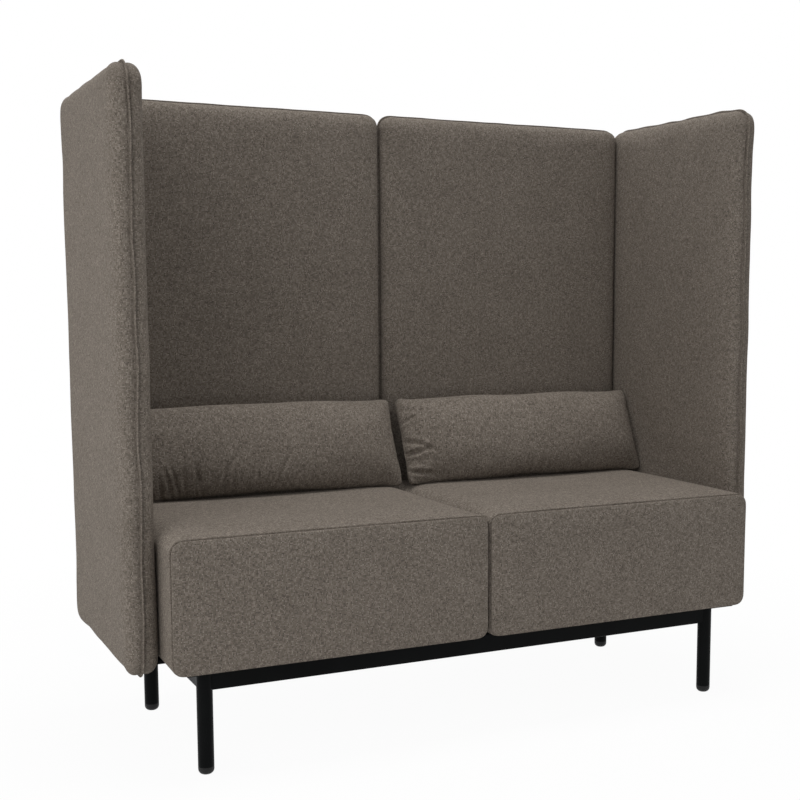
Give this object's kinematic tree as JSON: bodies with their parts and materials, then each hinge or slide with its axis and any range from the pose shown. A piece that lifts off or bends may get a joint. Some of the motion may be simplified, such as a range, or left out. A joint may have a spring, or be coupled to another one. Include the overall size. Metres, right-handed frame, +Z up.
{
  "type": "high-back sofa",
  "caption": "Low upholstered sofa with box seats, tall padded back and side panels that screen the sitter, loose lumbar pillows and round black tube legs.",
  "frame": {"origin": "on the floor, under the middle of the sofa's overall box", "axes": "+X along the sofa to the right seen from the front, +Y towards the back, +Z up"},
  "size_m": [1.408, 0.594, 1.297],
  "materials": {
    "upholstery": "matte",
    "foam": "matte",
    "timber": "matte",
    "webbing": "matte",
    "base_cloth": "matte",
    "black_steel": "satin",
    "glide_plastic": "satin",
    "zinc_steel": "satin"
  },
  "bodies": {
    "sofa": {"leg_caps": "glide_plastic", "leg_glides": "glide_plastic", "front_rail": "black_steel", "rear_rail": "black_steel", "left_rail": "black_steel", "right_rail": "black_steel", "centre_rail": "black_steel", "front_leg_left": "black_steel", "front_leg_right": "black_steel", "rear_leg_left": "black_steel", "rear_leg_right": "black_steel", "left_seat_cover": "upholstery", "left_seat_foam": "foam", "left_seat_frame": "timber", "left_seat_webbing": "webbing", "left_seat_base_cloth": "base_cloth", "left_panel_core": "timber", "left_panel_inner_foam": "foam", "left_panel_inner_cover": "upholstery", "left_panel_outer_foam": "foam", "left_panel_outer_cover": "upholstery", "left_panel_arms": "black_steel", "left_panel_screws": "zinc_steel", "left_back_core": "timber", "left_back_front_foam": "foam", "left_back_front_cover": "upholstery", "left_back_rear_foam": "foam", "left_back_rear_cover": "upholstery", "left_back_arms": "black_steel", "left_back_screws": "zinc_steel", "right_seat_cover": "upholstery", "right_seat_foam": "foam", "right_seat_frame": "timber", "right_seat_webbing": "webbing", "right_seat_base_cloth": "base_cloth", "right_panel_core": "timber", "right_panel_inner_foam": "foam", "right_panel_inner_cover": "upholstery", "right_panel_outer_foam": "foam", "right_panel_outer_cover": "upholstery", "right_panel_arms": "black_steel", "right_panel_screws": "zinc_steel", "right_back_core": "timber", "right_back_front_foam": "foam", "right_back_front_cover": "upholstery", "right_back_rear_foam": "foam", "right_back_rear_cover": "upholstery", "right_back_arms": "black_steel", "right_back_screws": "zinc_steel", "seat_bolts": "zinc_steel", "seat_tee_nuts": "zinc_steel"},
    "left_pillow": {"left_pillow_cover": "upholstery", "left_pillow_filling": "foam"},
    "right_pillow": {"right_pillow_cover": "upholstery", "right_pillow_filling": "foam"}
  },
  "joints": [
    {"name": "left_pillow_lift", "type": "slide", "parent": "sofa", "child": "left_pillow", "axis": [0, -0.7071, 0.7071], "range_m": [0, 0.85]},
    {"name": "right_pillow_lift", "type": "slide", "parent": "sofa", "child": "right_pillow", "axis": [0, -0.7071, 0.7071], "range_m": [0, 0.85]}
  ]
}
